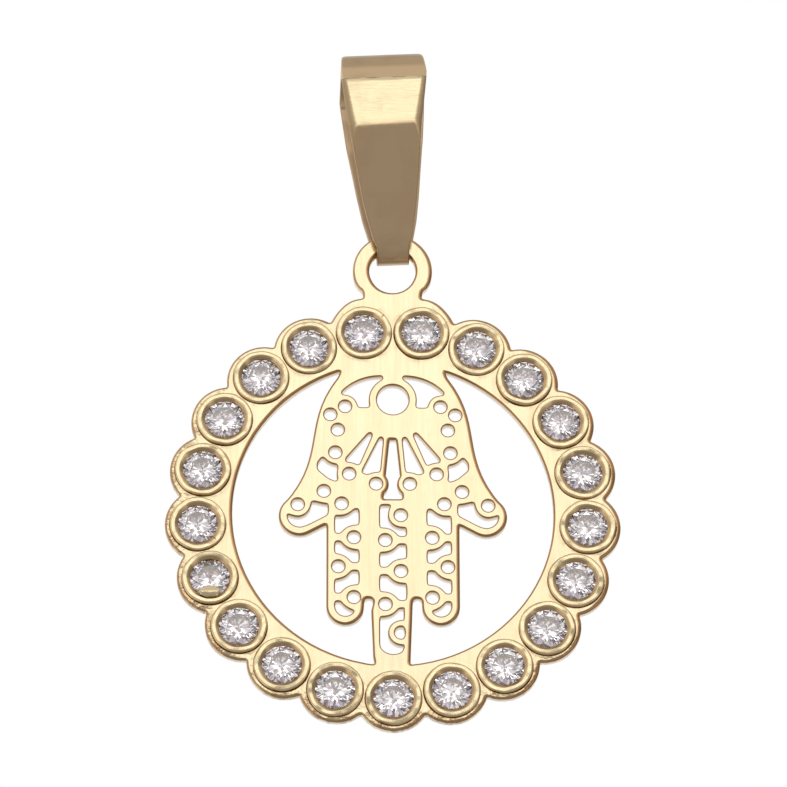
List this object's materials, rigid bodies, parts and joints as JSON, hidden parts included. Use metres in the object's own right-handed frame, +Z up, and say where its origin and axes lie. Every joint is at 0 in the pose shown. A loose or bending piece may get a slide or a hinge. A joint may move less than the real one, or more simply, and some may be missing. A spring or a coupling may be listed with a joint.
{
  "type": "hamsa pendant",
  "caption": "Gold-coloured pendant: a pierced hamsa hand in a scalloped ring of round clear stones, hanging from a tapered folded bail.",
  "frame": {"origin": "inside top of the bail, where a chain carries the pendant", "axes": "+X across the pendant and along a chain through the bail, +Z up, the pendant's front faces -Y"},
  "size_m": [0.0229, 0.004, 0.0367],
  "materials": {
    "plate_metal": "satin, finely brushed",
    "bail_metal": "polished",
    "stone": "clear faceted"
  },
  "bodies": {
    "bail": {"bail": "bail_metal"},
    "drop": {"plate": "plate_metal", "stone_01": "stone", "stone_02": "stone", "stone_03": "stone", "stone_04": "stone", "stone_05": "stone", "stone_06": "stone", "stone_07": "stone", "stone_08": "stone", "stone_09": "stone", "stone_10": "stone", "stone_11": "stone", "stone_12": "stone", "stone_13": "stone", "stone_14": "stone", "stone_15": "stone", "stone_16": "stone", "stone_17": "stone", "stone_18": "stone", "stone_19": "stone", "stone_20": "stone", "stone_21": "stone"}
  },
  "joints": [
    {"name": "swing", "type": "hinge", "parent": "bail", "child": "drop", "pos_m": [0.00054, 0, -0.01037], "axis": [1, 0, 0], "range_deg": [-50, 50]}
  ]
}
